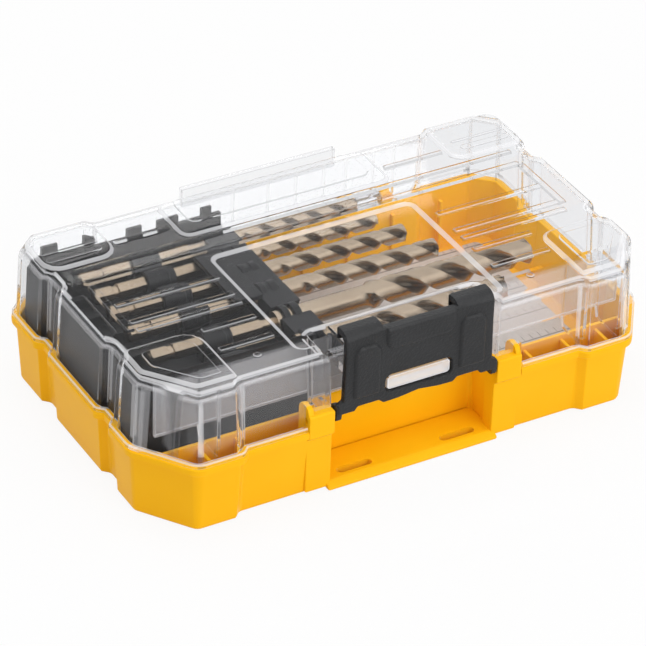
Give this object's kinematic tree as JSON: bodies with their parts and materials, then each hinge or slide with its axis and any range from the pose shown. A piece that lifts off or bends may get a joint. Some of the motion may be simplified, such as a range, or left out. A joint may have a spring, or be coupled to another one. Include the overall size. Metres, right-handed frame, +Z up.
{
  "type": "drill bit case",
  "caption": "Shallow plastic case with a clear hinged lid, a front latch with a grip, and a tray that holds hex-shank drill bits side by side.",
  "frame": {"origin": "centre of the case's flat underside", "axes": "+X along the case to the right as seen from the latch, -Y towards the latch, +Z up"},
  "size_m": [0.236, 0.1469, 0.0735],
  "materials": {
    "base": "satin",
    "lid": "clear, polished",
    "latch": "satin with a fine texture",
    "tray": "satin",
    "card": "printed sheet, left bare",
    "pin": "drawn wire",
    "bit": "bronze oxide"
  },
  "bodies": {
    "base": {"base_shell": "base", "hinge_pin_left": "pin", "hinge_pin_right": "pin", "latch_pin_left": "pin", "latch_pin_right": "pin", "bit_tray": "tray", "shank_clips": "tray", "neck_bridge": "tray", "size_card": "card", "drill_1": "bit", "drill_2": "bit", "drill_3": "bit", "drill_4": "bit", "drill_5": "bit", "drill_6": "bit", "drill_7": "bit", "drill_8": "bit", "drill_9": "bit"},
    "lid": {"lid_shell": "lid"},
    "latch": {"latch": "latch"}
  },
  "joints": [
    {"name": "lid_hinge", "type": "hinge", "parent": "base", "child": "lid", "pos_m": [0, 0.0724, 0.032], "axis": [-1, 0, 0], "range_deg": [0, 105]},
    {"name": "latch_hinge", "type": "hinge", "parent": "base", "child": "latch", "pos_m": [0, -0.0647, 0.0356], "axis": [1, 0, 0], "range_deg": [0, 116]}
  ],
  "couplings": [
    {"joint": "latch_hinge", "follows": "lid_hinge", "ratio": 1.1}
  ]
}
